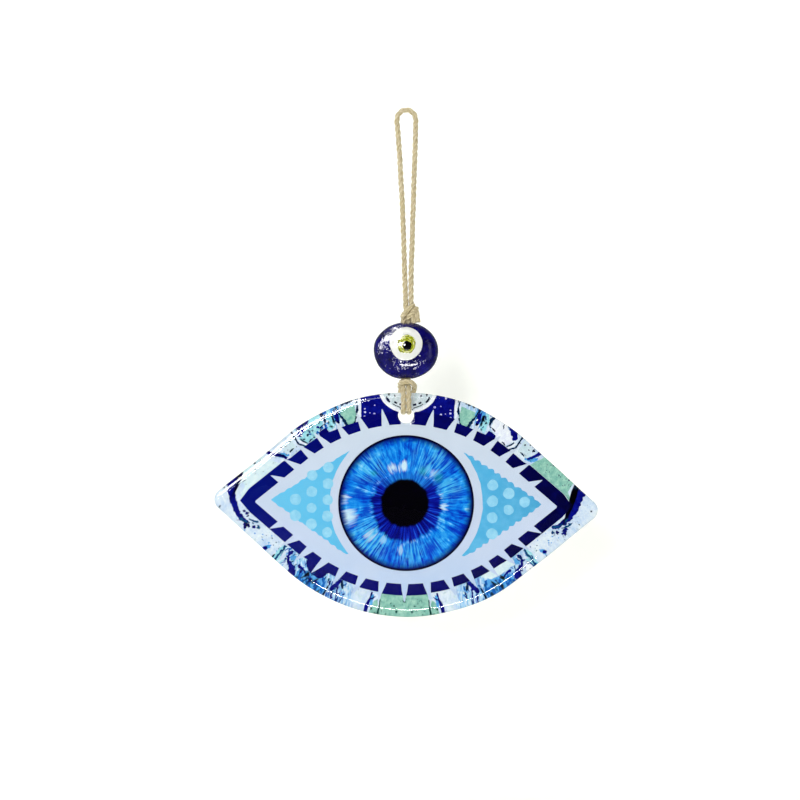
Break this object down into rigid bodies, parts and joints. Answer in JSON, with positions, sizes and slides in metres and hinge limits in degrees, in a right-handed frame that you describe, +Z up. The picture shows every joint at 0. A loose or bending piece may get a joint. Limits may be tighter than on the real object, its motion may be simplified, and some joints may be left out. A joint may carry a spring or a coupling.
{
  "type": "evil eye ornament",
  "caption": "Hanging ornament: almond-shaped glass plate with an eye print behind it, below a flattened glass eye bead, on a knotted twine loop.",
  "frame": {"origin": "inside of the hanging loop's top, where the twine rests on its nail", "axes": "+Z up, -Y out of the printed face towards the viewer, +X to the viewer's right"},
  "size_m": [0.14, 0.0123, 0.1856],
  "materials": {
    "clear_glass": "clear, fire-rounded front rim",
    "eye_print": "printed picture of a blue eye, seen through the glass",
    "white_backing": "matt white sheet",
    "cobalt_glass": "opaque cobalt glass, glossy, hand formed",
    "white_glass": "opaque white glass, glossy",
    "yellow_green_glass": "opaque yellow-green glass, mottled",
    "black_glass": "opaque black glass, glossy",
    "twine": "natural plied twine, lightly waxed"
  },
  "bodies": {
    "loop": {"twine_hanging_loop": "twine"},
    "line": {"twine_upper_knot": "twine", "twine_cut_ends": "twine", "twine_bead_strands": "twine"},
    "bead": {"bead_body": "cobalt_glass", "bead_white_dot": "white_glass", "bead_iris_dot": "yellow_green_glass", "bead_pupil_dot": "black_glass"},
    "hitch": {"twine_hitch": "twine"},
    "plate": {"glass_plate": "clear_glass", "printed_film": "eye_print", "backing_sheet": "white_backing"}
  },
  "joints": [
    {"name": "loop_twist", "type": "hinge", "parent": "loop", "child": "line", "pos_m": [0, 0, -0.07], "axis": [0, 0, 1], "range_deg": [-60, 60]},
    {"name": "bead_spin", "type": "hinge", "parent": "line", "child": "bead", "pos_m": [0, 0, -0.0866], "axis": [0, 0, 1], "continuous": true},
    {"name": "plate_swing", "type": "hinge", "parent": "line", "child": "hitch", "pos_m": [0, 0, -0.0973], "axis": [1, 0, 0], "range_deg": [-12, 12]},
    {"name": "plate_rock", "type": "hinge", "parent": "hitch", "child": "plate", "pos_m": [0, 0, -0.1101], "axis": [0, 1, 0], "range_deg": [-10, 10]}
  ]
}
